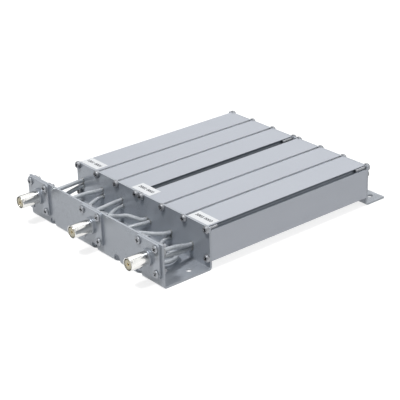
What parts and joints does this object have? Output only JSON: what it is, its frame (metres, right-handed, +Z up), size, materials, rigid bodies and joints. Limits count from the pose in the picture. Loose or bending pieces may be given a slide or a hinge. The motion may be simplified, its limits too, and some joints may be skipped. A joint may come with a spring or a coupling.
{
  "type": "duplexer",
  "caption": "Flat mobile radio duplexer: grey extruded cavity blocks with slotted tops on a folded sheet chassis, coax harness tray and bayonet jacks in front, foot and tuning screws behind.",
  "frame": {"origin": "centre of the four mounting holes, on the plane that the chassis and foot stand on", "axes": "+X along the row of jacks, +Y from the jacks to the rear foot, +Z up"},
  "size_m": [0.1581, 0.2274, 0.0326],
  "materials": {
    "painted_extrusion": "satin grey paint on aluminium extrusion",
    "painted_sheet": "satin grey paint on folded aluminium sheet",
    "zinc_steel": "bright zinc plate",
    "bright_nickel": "bright nickel plate on brass",
    "white_ptfe": "waxy PTFE",
    "gold_contact": "gold plate",
    "plated_brass": "silver-plated brass",
    "grey_jacket": "semi-gloss cable jacket",
    "label_paper": "white label stock"
  },
  "bodies": {
    "housing": {"cable_bush_1": "plated_brass", "cable_bush_2": "plated_brass", "cable_bush_3": "plated_brass", "cable_bush_4": "plated_brass", "cable_bush_5": "plated_brass", "cable_bush_6": "plated_brass", "cavity_block_left": "painted_extrusion", "cavity_block_right": "painted_extrusion", "coax_lead_1": "grey_jacket", "coax_lead_2": "grey_jacket", "coax_lead_3": "grey_jacket", "coax_lead_4": "grey_jacket", "coax_lead_5": "grey_jacket", "coax_lead_6": "grey_jacket", "coax_lead_7": "grey_jacket", "coax_lead_8": "grey_jacket", "coupling_probe_1": "plated_brass", "coupling_probe_2": "plated_brass", "coupling_probe_3": "plated_brass", "coupling_probe_4": "plated_brass", "coupling_probe_5": "plated_brass", "coupling_probe_6": "plated_brass", "flange_nuts": "zinc_steel", "flange_plate_1": "painted_sheet", "flange_plate_2": "painted_sheet", "flange_plate_3": "painted_sheet", "flange_screws": "zinc_steel", "front_chassis": "painted_sheet", "front_plate_screws": "zinc_steel", "jack_body_1": "bright_nickel", "jack_body_2": "bright_nickel", "jack_body_3": "bright_nickel", "jack_contact_1": "gold_contact", "jack_contact_2": "gold_contact", "jack_contact_3": "gold_contact", "jack_insulator_1": "white_ptfe", "jack_insulator_2": "white_ptfe", "jack_insulator_3": "white_ptfe", "jack_nuts": "bright_nickel", "port_label_1": "label_paper", "port_label_2": "label_paper", "port_label_3": "label_paper", "rear_bracket": "painted_sheet", "rear_plate_screws": "zinc_steel", "resonator_1": "plated_brass", "resonator_2": "plated_brass", "resonator_3": "plated_brass", "resonator_4": "plated_brass", "resonator_5": "plated_brass", "resonator_6": "plated_brass", "resonator_nuts": "plated_brass", "tuning_lock_nuts": "plated_brass"},
    "tuner_1": {"tuning_screw_1": "plated_brass"},
    "tuner_2": {"tuning_screw_2": "plated_brass"},
    "tuner_3": {"tuning_screw_3": "plated_brass"},
    "tuner_4": {"tuning_screw_4": "plated_brass"},
    "tuner_5": {"tuning_screw_5": "plated_brass"},
    "tuner_6": {"tuning_screw_6": "plated_brass"}
  },
  "joints": [
    {"name": "tuning_slide_1", "type": "slide", "parent": "housing", "child": "tuner_1", "axis": [0, 1, 0], "range_m": [-0.004, 0.0025]},
    {"name": "tuning_slide_2", "type": "slide", "parent": "housing", "child": "tuner_2", "axis": [0, 1, 0], "range_m": [-0.004, 0.0025]},
    {"name": "tuning_slide_3", "type": "slide", "parent": "housing", "child": "tuner_3", "axis": [0, 1, 0], "range_m": [-0.004, 0.0025]},
    {"name": "tuning_slide_4", "type": "slide", "parent": "housing", "child": "tuner_4", "axis": [0, 1, 0], "range_m": [-0.004, 0.0025]},
    {"name": "tuning_slide_5", "type": "slide", "parent": "housing", "child": "tuner_5", "axis": [0, 1, 0], "range_m": [-0.004, 0.0025]},
    {"name": "tuning_slide_6", "type": "slide", "parent": "housing", "child": "tuner_6", "axis": [0, 1, 0], "range_m": [-0.004, 0.0025]}
  ]
}
